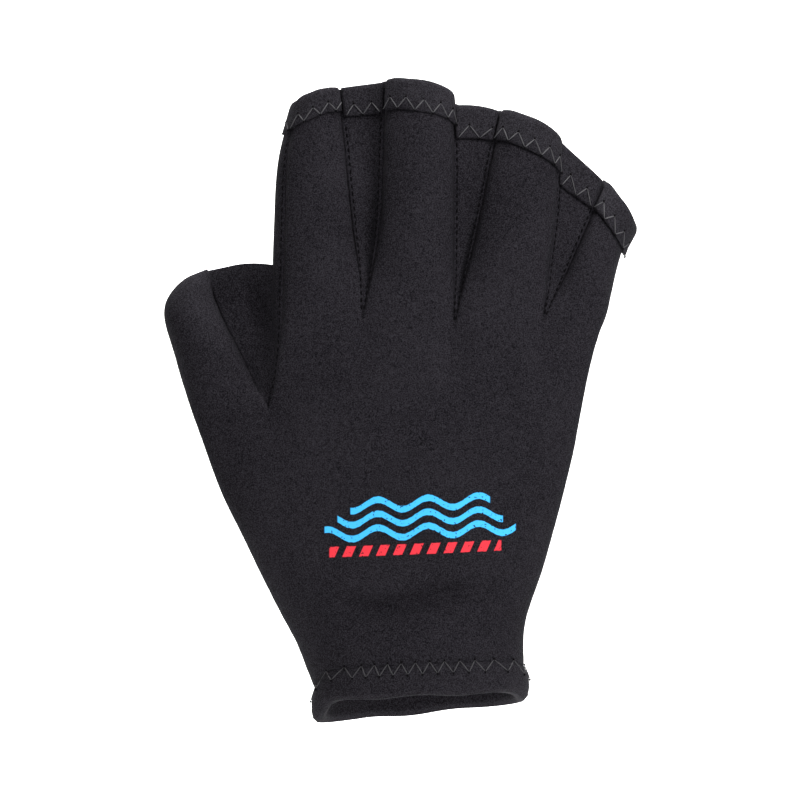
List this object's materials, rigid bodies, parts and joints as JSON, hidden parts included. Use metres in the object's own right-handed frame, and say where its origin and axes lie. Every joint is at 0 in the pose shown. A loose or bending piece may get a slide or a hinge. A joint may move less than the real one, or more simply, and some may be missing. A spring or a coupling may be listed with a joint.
{
  "type": "webbed swim glove",
  "caption": "Right-hand swim training glove in thin foam rubber, with webs between the digits, open fingertips, a closed thumb and a turned cuff.",
  "frame": {"origin": "centre of the cuff's mouth, where the wrist goes in", "axes": "+Z from the cuff to the finger mouths, +X from the thumb's side to the little finger's side, -Y out of the back of the hand and +Y out of the palm"},
  "size_m": [0.1485, 0.046, 0.2028],
  "materials": {
    "foam_rubber": "matt black knitted nylon over foam rubber",
    "hem_fabric": "matt black knitted nylon, turned and stitched"
  },
  "bodies": {
    "root": {"back_panel": "foam_rubber", "palm_panel": "foam_rubber", "thumb_web": "foam_rubber", "index_middle_web": "foam_rubber", "index_middle_web_hem": "hem_fabric", "middle_ring_web": "foam_rubber", "middle_ring_web_hem": "hem_fabric", "ring_little_web": "foam_rubber", "ring_little_web_hem": "hem_fabric", "index_hem": "hem_fabric", "middle_hem": "hem_fabric", "ring_hem": "hem_fabric", "little_hem": "hem_fabric", "cuff_hem": "hem_fabric"}
  },
  "joints": []
}
